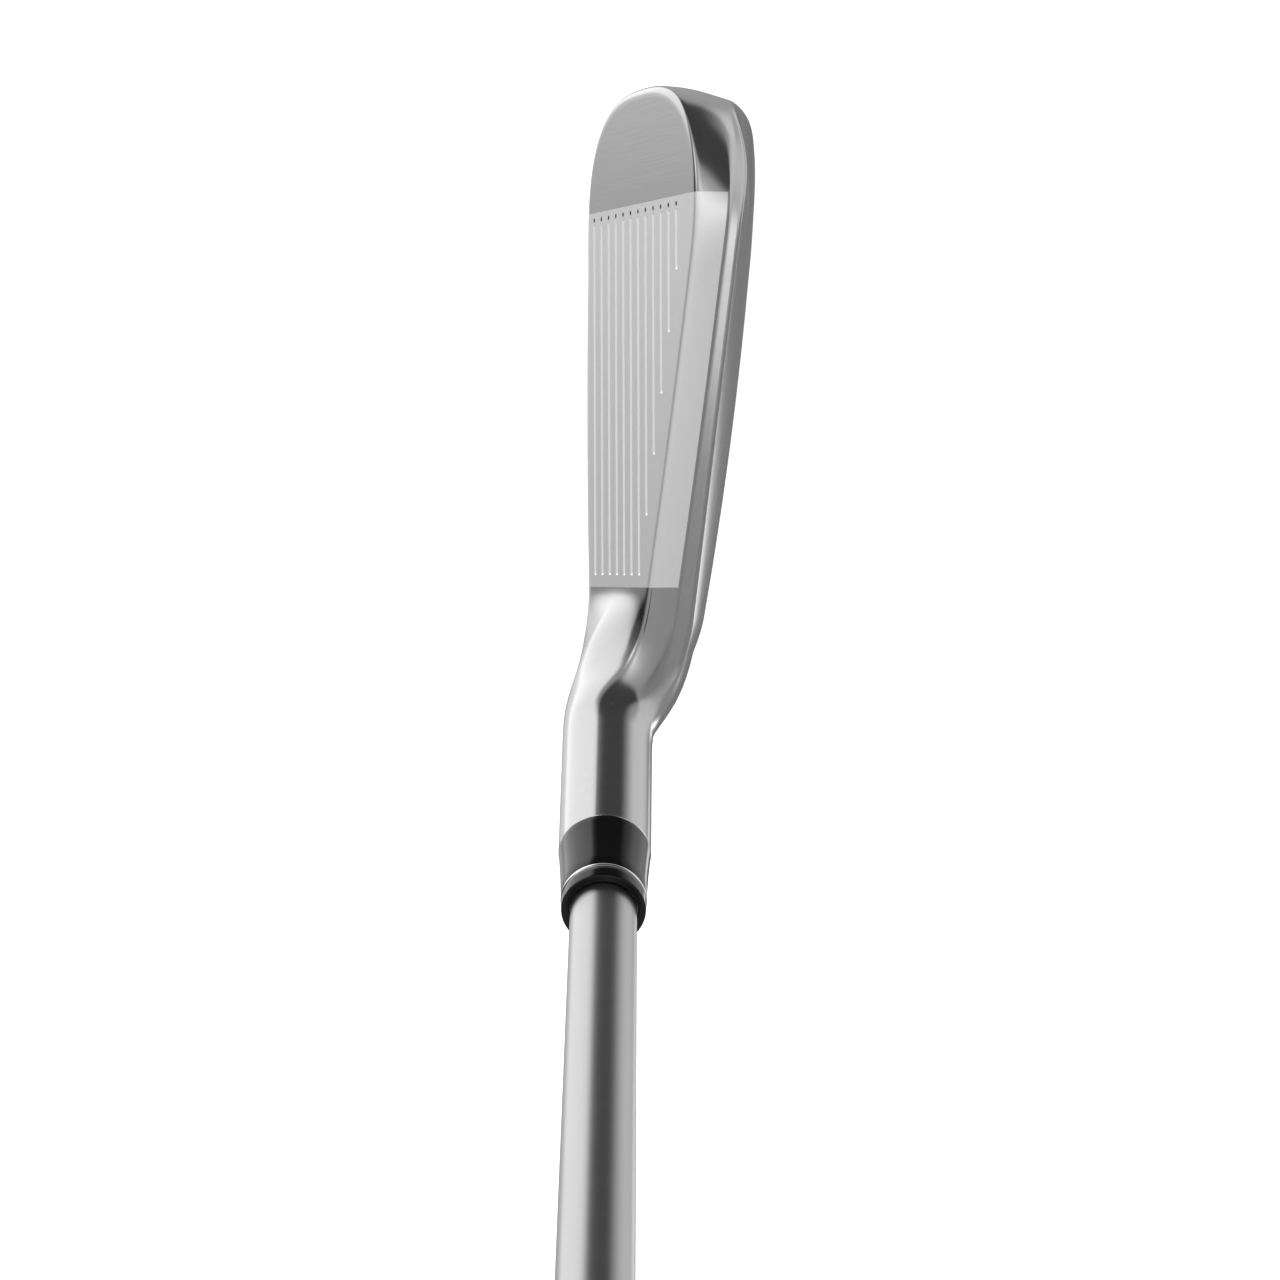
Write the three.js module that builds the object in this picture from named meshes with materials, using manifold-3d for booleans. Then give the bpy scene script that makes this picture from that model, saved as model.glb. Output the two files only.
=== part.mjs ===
// Utility golf club (iron-shaped hybrid), right-handed, standing at address. Millimetres: +Z up, +Y heel to
// toe, +X away from the target. The origin is the point of the shaft axis where the hands hold the grip.
import * as THREE from 'three';
import { toCreasedNormals } from 'three/addons/utils/BufferGeometryUtils.js';
import Module from 'manifold-3d';

// Head angles
const LOFT = 18.5;
const LIE = 60.3;

// Shaft axis: distances are measured along it, up from the ground
const AXIS_X = 4.1;
const HOSEL_R = 6.525;
const HOSEL_END = 60.5;
const BORE_R = 4.85;
const BORE_START = 27.5;
const CLUB_LENGTH = 1003;
const HOLD_AT = 880;

// Front outline of the blade, in the face plane: y along the face, t up the face
const TOP_T0 = 28.8;
const TOP_SLOPE = 0.427;
const TOP_BOW = 0.8;
const SOLE_T0 = 0.3;
const SOLE_RADIUS = 434;
const SOLE_LOW_Y = 30;
const TOE_Y = 79.6;
const TOE_T = 30;
const TOE_START = 52;
const TOE_TOP_POWER = 2.3;
const TOE_SOLE_POWER = 3.05;

// Thicknesses and depths of the blade
const TOPLINE = 5.2;
const RIDGE_DROP = 6.6;
const TRAIL_Z = 2.6;
const TRAIL_EXTRA = 0.7;
const SOLE_CAMBER = 1.1;
const TOPLINE_CAMBER = 0.2;
const TOE_CAMBER = 0.6;
const SOLE_TURN = 6;
const SOLE_TURN_Z = 0.5;
const BACK_BULGE = 0.35;
const TOE_ROWS = 36;

// Neck: the sections fan about this point of the y-z plane, from the blade to the hosel
const NECK_Y = -2.6;
const NECK_Z = 36.15;
const NECK_START_Y = 7.2;
const HEEL_POWER = 12;

// Face plate, hollow and weight
const PLATE_INSET = 0.6;
const PLATE_THICK = 2;
const PLATE_HEEL_Y = 7.2;
const GAP = 0.3;
const GROOVES = 12;
const GROOVE_FIRST_T = 6.5;
const GROOVE_PITCH = 3.52;
const GROOVE_TOE_Y = 61.3;
const GROOVE_HEEL_Y = 9;
const GROOVE_WIDTH = 0.9;
const GROOVE_DEPTH = 0.5;
const GROOVE_FULL = 7;
const GROOVE_STEP_Y = 8.7;
const RUNOUT_R = 0.35;
const RUNOUT_Y = 61.8;
const WEIGHT_X = 15.5;
const WEIGHT_Z = 11.5;
const WEIGHT_R = 4.5;
const WEIGHT_Y0 = 60;
const WEIGHT_Y1 = 69;
const SCREW_X = 15;
const SCREW_Z = 15.5;
const SCREW_R = 2.2;
const SOCKET_R = 1.15;
const SOCKET_DEEP = 1.6;
const SCREW_IN_Y = 71;
const SCREW_OUT_Y = 77.3;

// Ferrule
const BARREL_END = 72;
const BARREL_END_R = 5.97;
const RING_END = 72.65;
const RING_R = 6;
const NOSE_R = 5.95;
const FERRULE_END = 75;
const FERRULE_END_R = 5.88;
const FERRULE_RIM = 0.4;

// Shaft, grip
const TIP_AT = 29;
const TIP_R = 4.51;
const TIP_PARALLEL_END = 47;
const BUTT_R = 7.62;
const BUTT_PARALLEL_START = 715;
const TUBE_WALL_TIP = 0.5;
const TUBE_WALL_BUTT = 0.36;
const GRIP_START = 736;
const GRIP_MOUTH_R = 9;
const GRIP_BUTT_R = 13;
const CAP_START = 997;
const CAP_FLANGE_R = 13.4;
const CAP_VENT_R = 1.6;
const SHAFT_END = 998.5;
const TAPE_GAP = 0.12;
const TAPE_THICK = 0.25;
const PLUG_R = 3.4;
const BORE_IN = 4.98;

const rad = THREE.MathUtils.degToRad;
const { sin, cos, sqrt, pow, hypot, min, PI } = Math;
const { clamp, lerp, smoothstep } = THREE.MathUtils;
const V = (x, y, z) => new THREE.Vector3(x, y, z);
const SL = sin(rad(LOFT));
const CL = cos(rad(LOFT));
const AXIS = V(0, -cos(rad(LIE)), sin(rad(LIE)));

// A point of the face frame: y along the face, t up it, w behind it
const face = (y, t, w = 0) => V(t * SL + w * CL, y, t * CL - w * SL);

// ---------------------------------------------------------------- blade outline
const TURN = rad(LIE);
const AXIS_Q = NECK_Z * cos(TURN) + NECK_Y * sin(TURN);
const CROTCH_R = AXIS_Q - HOSEL_R;
const topLine = (y) => TOP_T0 + TOP_SLOPE * y + TOP_BOW * (1 - ((y - 30) / 30) ** 2);
const soleLine = (y) => SOLE_T0 + (y - SOLE_LOW_Y) ** 2 / (2 * SOLE_RADIUS);
const ridgeX = (y) => 16.2 + 0.1226 * y;
const backX = (y) => 17.15 + 0.1885 * y - 0.00095 * y * y;

// Toe quadrant, q from 0 at the blade to 1 at the toe's foremost point
function toePoint(q, top) {
  const power = top ? TOE_TOP_POWER : TOE_SOLE_POWER;
  const y = TOE_START + (TOE_Y - TOE_START) * pow(sin(q * PI / 2), 2 / power);
  const line = top ? topLine(y) : soleLine(y);
  const drop = (top ? topLine(TOE_Y) : soleLine(TOE_Y)) - TOE_T;
  return face(y, line - drop * (1 - pow(cos(q * PI / 2), 2 / power)));
}

// The outline of the toe from the topline to the sole, evenly spaced
function toeOutline() {
  const points = [];
  for (let i = 0; i <= 60; i++) points.push(toePoint(i / 60, true));
  for (let i = 59; i >= 0; i--) points.push(toePoint(i / 60, false));
  return new THREE.CatmullRomCurve3(points);
}

// The line on the wall where the topline turns down the back, then on round the toe wall to the sole
const wallLine = new THREE.CatmullRomCurve3([
  topBack(TOE_START),
  topBack(60),
  V(22.2, 66, 48.2),
  V(22.3, 71, 45.1),
  V(21.6, 75, 39.8),
  V(20.6, 77.6, 32.5),
  V(20.3, 78.6, 24),
  V(20.6, 78.4, 14),
  V(20.8, 76.6, 5.6),
  V(20.6, 72.5, 1.7),
  V(20.3, 66, 0.9),
  soleRear(60),
  soleRear(TOE_START),
], false, 'centripetal');

// The ridge of the back, then the corner of the toe wall and the muscle, then the sole's trailing edge
const backLine = new THREE.CatmullRomCurve3([
  ridge(TOE_START),
  ridge(60),
  V(24.25, 66.5, 41.3),
  V(23.8, 71, 39.4),
  V(22.9, 75, 36),
  V(22.9, 76.9, 31.5),
  V(24.1, 77.3, 24.5),
  V(25.3, 77, 16),
  V(25.8, 75.8, 8),
  V(26.1, 72.3, 3.5),
  V(26, 67, 2.7),
  soleBack(60),
  soleBack(TOE_START),
], false, 'centripetal');

function topFront(y) {
  const crotch = y < NECK_Y + 3.7 ? (NECK_Z - sqrt(CROTCH_R ** 2 - (y - NECK_Y) ** 2)) / CL : 0;
  return face(y, Math.max(topLine(y), crotch));
}
function topBack(y) {
  const p = topFront(y);
  return V(p.x + TOPLINE * CL, y, p.z - TOPLINE * SL);
}
function ridge(y) {
  return V(ridgeX(y), y, topBack(y).z - RIDGE_DROP);
}
function soleBack(y) {
  return V(backX(y) + TRAIL_EXTRA, y, TRAIL_Z);
}
function soleFront(y) {
  return face(y, soleLine(y));
}
function soleRear(y) {
  return V(backX(y) + TRAIL_EXTRA - SOLE_TURN, y, SOLE_TURN_Z);
}
const faceMiddle = (y) => face(y, lerp(15, 27, (y - NECK_Y) / (60 - NECK_Y)));

// ---------------------------------------------------------------- cross-sections
const COLUMNS = { face: 2, front: 4, wall: 3, turn: 3, band: 2, back: 3, rear: 3 };

function bezier(a, b, c, n, out) {
  const curve = new THREE.QuadraticBezierCurve3(a, b, c);
  out.push(...curve.getPoints(n).slice(1));
}
const toward = (a, b, d) => a.clone().add(b.clone().sub(a).setLength(min(d, a.distanceTo(b) * 0.48)));
const midway = (a, b) => a.clone().lerp(b, 0.5);

// The middle of the back, and how its x changes with y and z there
function backMiddle(y) {
  const top = ridge(y);
  const low = soleBack(y);
  const slope = (top.x - low.x) / (top.z - low.z);
  const z = lerp(low.z, top.z, 0.5);
  return { at: V(lerp(low.x, top.x, 0.5) + BACK_BULGE, y, z), slopeY: 0.12, slopeZ: slope };
}

// Half a cross-section: from the middle of the face, round its edge, over the wall, down the band to the
// ridge or trailing edge, and on to the middle of the back
function halfRow(middle, front, camber, wall, edge, rear, cuts) {
  const crest = midway(front, wall).add(camber);
  const f1 = toward(front, middle, cuts.front);
  const f2 = toward(front, crest, cuts.front);
  const w1 = toward(wall, crest, cuts.wall);
  const w2 = toward(wall, edge, cuts.wall);
  const e1 = toward(edge, wall, cuts.edge);
  const knee = midway(edge, rear.at);
  knee.x = rear.at.x + rear.slopeY * (knee.y - rear.at.y) + rear.slopeZ * (knee.z - rear.at.z);
  const e2 = toward(edge, knee, cuts.edge);
  const row = [middle.clone()];
  bezier(middle, midway(middle, f1), f1, COLUMNS.face, row);
  bezier(f1, front, f2, COLUMNS.front, row);
  bezier(f2, crest, w1, COLUMNS.wall, row);
  bezier(w1, wall, w2, COLUMNS.turn, row);
  bezier(w2, midway(w2, e1), e1, COLUMNS.band, row);
  bezier(e1, edge, e2, COLUMNS.back, row);
  bezier(e2, knee, rear.at, COLUMNS.rear, row);
  return row;
}

const UP = face(0, 1);
const DOWN = V(0, 0, -1);
const TOP_CUTS = { front: 0.9, wall: 0.7, edge: 0.35 };
const TOE_CUTS = { front: 1.9, wall: 4.5, edge: 5 };
const SOLE_CUTS = { front: 3.2, wall: 2.6, edge: 5.5 };
function bladeRing(y) {
  const rear = backMiddle(y);
  const up = UP.clone().multiplyScalar(TOPLINE_CAMBER);
  const down = DOWN.clone().multiplyScalar(SOLE_CAMBER);
  const top = halfRow(faceMiddle(y), topFront(y), up, topBack(y), ridge(y), rear, TOP_CUTS);
  const sole = halfRow(faceMiddle(y), soleFront(y), down, soleRear(y), soleBack(y), rear, SOLE_CUTS);
  return top.concat(sole.reverse().slice(1, -1));
}

// The hosel's round section seen in the plane at angle `turn` of the neck's fan
const HALF = Object.values(COLUMNS).reduce((sum, n) => sum + n, 0);
const WALL_AT = COLUMNS.face + COLUMNS.front;
const BAND_AT = WALL_AT + COLUMNS.wall + COLUMNS.turn;
const REAR_AT = HALF - COLUMNS.rear;
const STOPS = [[0, 180], [COLUMNS.face, 102], [WALL_AT, 84], [BAND_AT, 40], [REAR_AT, 4], [HALF, -22]];
const LOW_STOPS = [[0, 180], [COLUMNS.face, 222], [WALL_AT, 250], [BAND_AT, 285], [REAR_AT, 315],
  [HALF, 338]];
function stopAngle(stops, i) {
  const k = stops.findIndex(([at]) => at >= i);
  if (k === 0) return stops[0][1];
  const [a0, v0] = stops[k - 1];
  const [a1, v1] = stops[k];
  return lerp(v0, v1, (i - a0) / (a1 - a0));
}
const ringAngles = [];
for (let i = 0; i <= HALF; i++) ringAngles.push(rad(stopAngle(STOPS, i)));
for (let i = HALF - 1; i > 0; i--) ringAngles.push(rad(stopAngle(LOW_STOPS, i)));

const HEEL_TILT = rad(4);
const fanPoint = (x, q, turn) => V(x, NECK_Y - q * sin(turn), NECK_Z - q * cos(turn));

// How far the neck reaches from the fan's centre, in the plane at angle `turn`: sole line and heel line
function neckReach(turn) {
  const low = NECK_Z - soleFront(NECK_Y).z;
  const heelLine = (AXIS_Q + HOSEL_R) / cos(TURN);
  const flat = pow(pow(low, -HEEL_POWER) - pow(heelLine, -HEEL_POWER), -1 / HEEL_POWER) * cos(HEEL_TILT);
  const sole = flat / cos(turn + HEEL_TILT);
  const heel = (AXIS_Q + HOSEL_R) / cos(TURN - turn);
  return pow(pow(sole, -HEEL_POWER) + pow(heel, -HEEL_POWER), -1 / HEEL_POWER);
}

function hoselRing(turn) {
  const spread = (neckReach(turn) - CROTCH_R) / (2 * HOSEL_R);
  return ringAngles.map((a) => {
    const across = HOSEL_R * (1 - sin(a));
    return fanPoint(AXIS_X + HOSEL_R * cos(a), CROTCH_R + across * spread, turn);
  });
}

// s with a soft start, reaching 1 at 1
const ease = (s, soft) => (hypot(min(s, 1), soft) - soft) / (hypot(1, soft) - soft);

// How far a column of the section has gone from the blade (0) to the round hosel (1), at y or at an angle of
// the fan: the face swells towards the hosel first, then the back, and the crotch last
function melts(y, turn) {
  const run = NECK_START_Y - y;
  const onFace = 1 - (1 - ease((run + 24 * sin(turn)) / 29, 0.1)) ** 2.8;
  const onTop = (1 - cos(PI * min((run + CROTCH_R * sin(turn)) / 17.7, 1) ** 1.8)) / 2;
  const onBack = smoothstep(0.25 * run / (NECK_START_Y - NECK_Y) + 0.75 * turn / TURN, 0.12, 0.87);
  return (i) => {
    if (i <= COLUMNS.face) return lerp(onFace, onTop, i / COLUMNS.face);
    if (i <= REAR_AT) return lerp(onTop, onBack, (i - COLUMNS.face) / (REAR_AT - COLUMNS.face));
    const low = 2 * HALF - i;
    const rearward = clamp((low - COLUMNS.face) / (REAR_AT - COLUMNS.face), 0, 1);
    return lerp(onFace, onBack, rearward);
  };
}

// A section of the neck: the last blade section carried round the fan, melting into the round hosel
function neckRing(turn) {
  const low = NECK_Z - soleFront(NECK_Y).z;
  const scale = (neckReach(turn) - CROTCH_R) / (low - CROTCH_R);
  const round = hoselRing(turn);
  const share = melts(NECK_Y, turn);
  return bladeRing(NECK_Y).map((p, i) => {
    const q = CROTCH_R + (NECK_Z - p.z - CROTCH_R) * scale;
    return fanPoint(p.x, q, turn).lerp(round[i], share(i));
  });
}

function headRings() {
  const rings = [];
  const side = V(0, sin(TURN), cos(TURN));
  const along = (a) => ringAngles.map((g) => V(AXIS_X + HOSEL_R * cos(g), 0, 0)
    .addScaledVector(AXIS, a)
    .addScaledVector(side, HOSEL_R * sin(g)));
  for (const a of [HOSEL_END, 52, 43]) rings.push(along(a));
  for (let i = 10; i > 0; i--) rings.push(neckRing(TURN * i / 10));
  for (const y of [NECK_Y, -0.7, 1.2, 3, 5, NECK_START_Y, 12, 17, 23, 29, 35, 41, 47, TOE_START]) {
    const share = melts(min(y, NECK_START_Y), 0);
    const round = hoselRing(0);
    rings.push(bladeRing(y).map((p, i) => p.lerp(round[i].clone().setY(y), share(i))));
  }
  return rings;
}

const mix = (a, b, s) => Object.fromEntries(Object.keys(a).map((k) => [k, lerp(a[k], b[k], s)]));
function toeRows() {
  const outline = toeOutline();
  const middle = faceMiddle(TOE_START);
  const rear = backMiddle(TOE_START);
  const rows = [];
  for (let i = 0; i <= TOE_ROWS; i++) {
    const s = i / TOE_ROWS;
    const tangent = outline.getTangentAt(s);
    const low = smoothstep(s, 0.5, 0.95);
    const high = 1 - smoothstep(s, 0.12, 0.4);
    const wallCuts = mix(mix(TOE_CUTS, SOLE_CUTS, low), TOP_CUTS, high);
    const edge = lerp(wallCuts.edge, TOP_CUTS.edge, 1 - smoothstep(s, 0.3, 0.5));
    const outward = face(0, 0, 1).cross(tangent).normalize().lerp(DOWN, low).normalize();
    const camber = lerp(lerp(TOE_CAMBER, SOLE_CAMBER, low), TOPLINE_CAMBER, high);
    const row = halfRow(middle, outline.getPointAt(s), outward.multiplyScalar(camber), wallLine.getPointAt(s),
      backLine.getPointAt(s), rear, { ...wallCuts, edge });
    rows.push(row);
  }
  return rows;
}

// ---------------------------------------------------------------- closed solids
const { Manifold, Mesh } = await (async () => {
  const wasm = await Module();
  wasm.setup();
  return wasm;
})();

// A Manifold from triangles given as triples of points
function solidOf(triangles) {
  const keys = new Map();
  const verts = [];
  const tris = [];
  for (const tri of triangles) {
    const ids = tri.map((p) => {
      const key = [p.x, p.y, p.z].map((v) => Math.round(v * 1e4)).join();
      if (!keys.has(key)) {
        keys.set(key, verts.length / 3);
        verts.push(p.x, p.y, p.z);
      }
      return keys.get(key);
    });
    if (ids[0] !== ids[1] && ids[1] !== ids[2] && ids[0] !== ids[2]) tris.push(...ids);
  }
  const vertProperties = new Float32Array(verts);
  return new Manifold(new Mesh({ numProp: 3, vertProperties, triVerts: new Uint32Array(tris) }));
}

// A three.js geometry (closed) as a Manifold
function solidOfGeometry(geometry) {
  const g = geometry.index ? geometry.toNonIndexed() : geometry;
  const at = g.getAttribute('position');
  const triangles = [];
  for (let i = 0; i < at.count; i += 3) {
    triangles.push([0, 1, 2].map((k) => new THREE.Vector3().fromBufferAttribute(at, i + k)));
  }
  return solidOf(triangles);
}

function geometryOf(solid) {
  const { vertProperties, triVerts, numProp } = solid.getMesh();
  const at = new Float32Array(triVerts.length * 3);
  triVerts.forEach((v, i) => at.set(vertProperties.subarray(v * numProp, v * numProp + 3), i * 3));
  const g = new THREE.BufferGeometry();
  g.setAttribute('position', new THREE.BufferAttribute(at, 3));
  return toCreasedNormals(g, rad(28));
}

function quad(a, b, c, d, out) {
  out.push([a, b, c], [a, c, d]);
}

function headSolid() {
  const rings = headRings();
  const rows = toeRows();
  const out = [];
  const n = rings[0].length;
  const cap = AXIS.clone().multiplyScalar(HOSEL_END).add(V(AXIS_X, 0, 0));
  for (let i = 0; i < n; i++) out.push([cap, rings[0][(i + 1) % n], rings[0][i]]);
  for (let r = 0; r + 1 < rings.length; r++) {
    for (let i = 0; i < n; i++) {
      const j = (i + 1) % n;
      quad(rings[r][i], rings[r][j], rings[r + 1][j], rings[r + 1][i], out);
    }
  }
  const last = rings[rings.length - 1];
  const top = last.slice(0, HALF + 1);
  const sole = [last[0], ...last.slice(HALF).reverse()];
  const fan = [top, ...rows.slice(1, -1), sole];
  for (let r = 0; r + 1 < fan.length; r++) {
    for (let i = 0; i < HALF; i++) quad(fan[r][i], fan[r][i + 1], fan[r + 1][i + 1], fan[r + 1][i], out);
  }
  const solid = solidOf(out);
  if (solid.volume() < 0) throw new Error('head is inside out');
  return solid;
}

// A solid through a stack of convex outlines with the same number of points
function stack(outlines) {
  const out = [];
  const n = outlines[0].length;
  const last = outlines[outlines.length - 1];
  for (let i = 1; i + 1 < n; i++) {
    out.push([outlines[0][0], outlines[0][i + 1], outlines[0][i]]);
    out.push([last[0], last[i], last[i + 1]]);
  }
  for (let r = 0; r + 1 < outlines.length; r++) {
    for (let i = 0; i < n; i++) {
      const j = (i + 1) % n;
      quad(outlines[r][i], outlines[r][j], outlines[r + 1][j], outlines[r + 1][i], out);
    }
  }
  return solidOf(out);
}

// A cylinder between two points
function rod(from, to, radius, sides) {
  const g = new THREE.CylinderGeometry(radius, radius, from.distanceTo(to), sides);
  g.applyQuaternion(new THREE.Quaternion().setFromUnitVectors(V(0, 1, 0), to.clone().sub(from).normalize()));
  const middle = midway(from, to);
  return solidOfGeometry(g.translate(middle.x, middle.y, middle.z));
}

// ---------------------------------------------------------------- head pieces
// Outline of the flat of the face (y, t), moved inward by `inset`
function plateOutline(inset) {
  const ys = [PLATE_HEEL_Y, 14, 20, 26, 32, 38, 44, TOE_START];
  const flat = (row) => row[COLUMNS.face];
  const topRow = (y) => flat(bladeRing(y));
  const soleRow = (y) => bladeRing(y)[2 * HALF - COLUMNS.face];
  const points = [...ys.map(topRow), ...toeRows().slice(1, -1).map(flat), ...ys.reverse().map(soleRow)];
  const flatPoints = points.map((p) => new THREE.Vector2(p.y, p.z / CL));
  return flatPoints.map((p, i) => {
    const before = flatPoints[Math.max(i - 1, 0)];
    const after = flatPoints[min(i + 1, flatPoints.length - 1)];
    const along = after.clone().sub(before).normalize();
    const moved = p.clone().add(new THREE.Vector2(along.y, -along.x).multiplyScalar(inset));
    return moved.setX(Math.max(moved.x, PLATE_HEEL_Y + inset - PLATE_INSET));
  });
}

// A plate with that outline, from depth w0 to w1 behind the face
function faceSlab(inset, w0, w1) {
  const shape = new THREE.Shape(plateOutline(inset));
  const g = new THREE.ExtrudeGeometry(shape, { depth: w1 - w0, bevelEnabled: false });
  g.translate(0, 0, w0);
  g.applyMatrix4(new THREE.Matrix4().makeBasis(V(0, 1, 0), face(0, 1), face(0, 0, 1)));
  return solidOfGeometry(g);
}

// The hollow, as outlines across the blade, each moved inward by `gap`
function hollow(gap) {
  const deep = PLATE_THICK + GAP - 0.1;
  const across = (y, tTop, ridgeIn, knee, floor, tLow) => {
    const points = [face(y, tTop, deep), ridgeIn, knee, floor, face(y, tLow, deep)];
    const centre = points.reduce((sum, p) => sum.add(p), V(0, 0, 0)).divideScalar(points.length);
    return points.map((p) => toward(p, centre, gap * 1.5));
  };
  const main = (y) => {
    const r = ridge(y);
    const b = soleBack(y);
    const t = topFront(y).z / CL;
    return across(y, t - 5, V(r.x - 2.5, y, r.z - 1.5), V(b.x - 2.9, y, 9), V(b.x - 7.5, y, 3.4), 6);
  };
  const outlines = [
    main(10.5 + gap),
    main(30),
    main(48),
    main(60),
    across(68, 43.5, V(21.3, 68, 36), V(22.8, 68, 10), V(18.5, 68, 5), 9.5),
    across(73.5 - gap, 37, V(20.2, 73.5 - gap, 29), V(21.6, 73.5 - gap, 13), V(18, 73.5 - gap, 9.5), 15),
  ];
  return stack(outlines);
}

const onAxis = (a) => V(AXIS_X, 0, 0).addScaledVector(AXIS, a);

function grooveCutter(t, y0) {
  const w = GROOVE_WIDTH / 2;
  const mouth = 1.3 * w;
  const floor = 0.5 * w;
  const ring = (half, y1, y2, depth) => [face(y1, t - half, depth), face(y2, t - half, depth),
    face(y2, t + half, depth), face(y1, t + half, depth)];
  return stack([
    ring(mouth, y0 - 0.3, GROOVE_TOE_Y + 0.3, -0.3 * GROOVE_DEPTH),
    ring(floor, y0 + 0.7, GROOVE_TOE_Y - 0.7, GROOVE_DEPTH),
  ]);
}

function grooves() {
  const cutters = [];
  for (let i = 0; i < GROOVES; i++) {
    const t = GROOVE_FIRST_T + i * GROOVE_PITCH;
    const heel = GROOVE_HEEL_Y + GROOVE_STEP_Y * Math.max(0, i + 1 - GROOVE_FULL);
    cutters.push(grooveCutter(t, heel));
    cutters.push(rod(face(RUNOUT_Y, t, -1), face(RUNOUT_Y, t, GROOVE_DEPTH), RUNOUT_R, 8));
  }
  return cutters;
}

const portLine = (y) => V(SCREW_X, y, SCREW_Z);
const weightLine = (y) => V(WEIGHT_X, y, WEIGHT_Z);
const weightRod = (gap) => rod(weightLine(WEIGHT_Y0 - gap), weightLine(WEIGHT_Y1 + gap), WEIGHT_R + gap, 28);

function bodySolid() {
  return Manifold.difference([
    headSolid(),
    faceSlab(PLATE_INSET - GAP, -1, PLATE_THICK + GAP),
    hollow(0),
    rod(onAxis(BORE_START), onAxis(HOSEL_END + 1), BORE_R, 40),
    rod(portLine(70), portLine(84), SCREW_R + GAP, 28),
  ]);
}
const plateSolid = () => Manifold.difference([faceSlab(PLATE_INSET, 0, PLATE_THICK), ...grooves()]);
const portWay = () => rod(portLine(60), portLine(84), SCREW_R + GAP, 28);
const foamSolid = () => Manifold.difference([hollow(GAP), weightRod(GAP), portWay()]);
const screwSolid = () => rod(portLine(SCREW_IN_Y), portLine(SCREW_OUT_Y), SCREW_R, 28)
  .subtract(rod(portLine(SCREW_OUT_Y - SOCKET_DEEP), portLine(SCREW_OUT_Y + 1), SOCKET_R, 6));

// ---------------------------------------------------------------- turned pieces, y along the shaft axis
const AROUND = 40;
function turned(profile) {
  const points = profile.map(([r, a]) => new THREE.Vector2(r, a));
  return new THREE.LatheGeometry([...points, points[0]], AROUND);
}
const TAPER_LENGTH = BUTT_PARALLEL_START - TIP_PARALLEL_END;
const taper = (a) => clamp((a - TIP_PARALLEL_END) / TAPER_LENGTH, 0, 1);
const shaftR = (a) => lerp(TIP_R, BUTT_R, taper(a));
const tubeR = (a) => shaftR(a) - lerp(TUBE_WALL_TIP, TUBE_WALL_BUTT, taper(a));
const gripBore = BUTT_R + 2 * TAPE_GAP + TAPE_THICK;

const barrel = [[BORE_IN, HOSEL_END + GAP], [HOSEL_R, HOSEL_END + GAP], [BARREL_END_R, BARREL_END],
  [BORE_IN, BARREL_END]];
const ring = [[BORE_IN, BARREL_END + GAP], [RING_R, BARREL_END + GAP], [RING_R, RING_END],
  [BORE_IN, RING_END]];
const nose = [[BORE_IN, RING_END + GAP], [NOSE_R, RING_END + GAP]];
for (let i = 0; i <= 6; i++) {
  const g = (i / 6) * PI / 2;
  nose.push([FERRULE_END_R - FERRULE_RIM * (1 - cos(g)), FERRULE_END - FERRULE_RIM * (1 - sin(g))]);
}
nose.push([BORE_IN, FERRULE_END]);

const shaft = [];
const shaftStops = [TIP_AT, TIP_PARALLEL_END, 200, 400, 560, BUTT_PARALLEL_START, SHAFT_END];
for (const a of shaftStops) shaft.push([shaftR(a), a]);
for (const a of shaftStops.toReversed()) shaft.push([tubeR(a), a]);

const tape = [[BUTT_R + TAPE_GAP, GRIP_START + 6], [BUTT_R + TAPE_GAP + TAPE_THICK, GRIP_START + 6],
  [BUTT_R + TAPE_GAP + TAPE_THICK, SHAFT_END - 2], [BUTT_R + TAPE_GAP, SHAFT_END - 2]];

const sleeve = [[gripBore, GRIP_START + 0.6], [GRIP_MOUTH_R - 0.6, GRIP_START]];
sleeve.push([GRIP_MOUTH_R, GRIP_START + 0.8]);
sleeve.push([9.35, 765], [10.1, 800], [10.9, 845], [11.7, 900], [12.5, 955], [GRIP_BUTT_R, 985]);
sleeve.push([GRIP_BUTT_R, CAP_START - GAP], [gripBore, CAP_START - GAP]);

const cap = [[CAP_VENT_R, SHAFT_END + GAP], [BUTT_R, SHAFT_END + GAP], [BUTT_R, CAP_START],
  [GRIP_BUTT_R, CAP_START],
  [CAP_FLANGE_R, CAP_START + 1.2], [CAP_FLANGE_R, CAP_START + 4], [CAP_FLANGE_R - 0.5, CLUB_LENGTH - 0.9],
  [CAP_FLANGE_R - 1.8, CLUB_LENGTH], [CAP_VENT_R, CLUB_LENGTH]];

const plug = [[0, TIP_AT + 0.4], [PLUG_R, TIP_AT + 0.4], [PLUG_R, TIP_AT + 9], [PLUG_R - 0.8, TIP_AT + 10],
  [0, TIP_AT + 10]];

// ---------------------------------------------------------------- scene
const steel = (color, roughness) => new THREE.MeshStandardMaterial({ color, roughness, metalness: 1 });
const plastic = (color, roughness) => new THREE.MeshStandardMaterial({ color, roughness, metalness: 0 });

const club = new THREE.Group();
club.position.copy(onAxis(HOLD_AT)).negate();
const axisLine = new THREE.Group();
axisLine.position.set(AXIS_X, 0, 0);
axisLine.rotation.x = PI - TURN;
club.add(axisLine);

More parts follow.
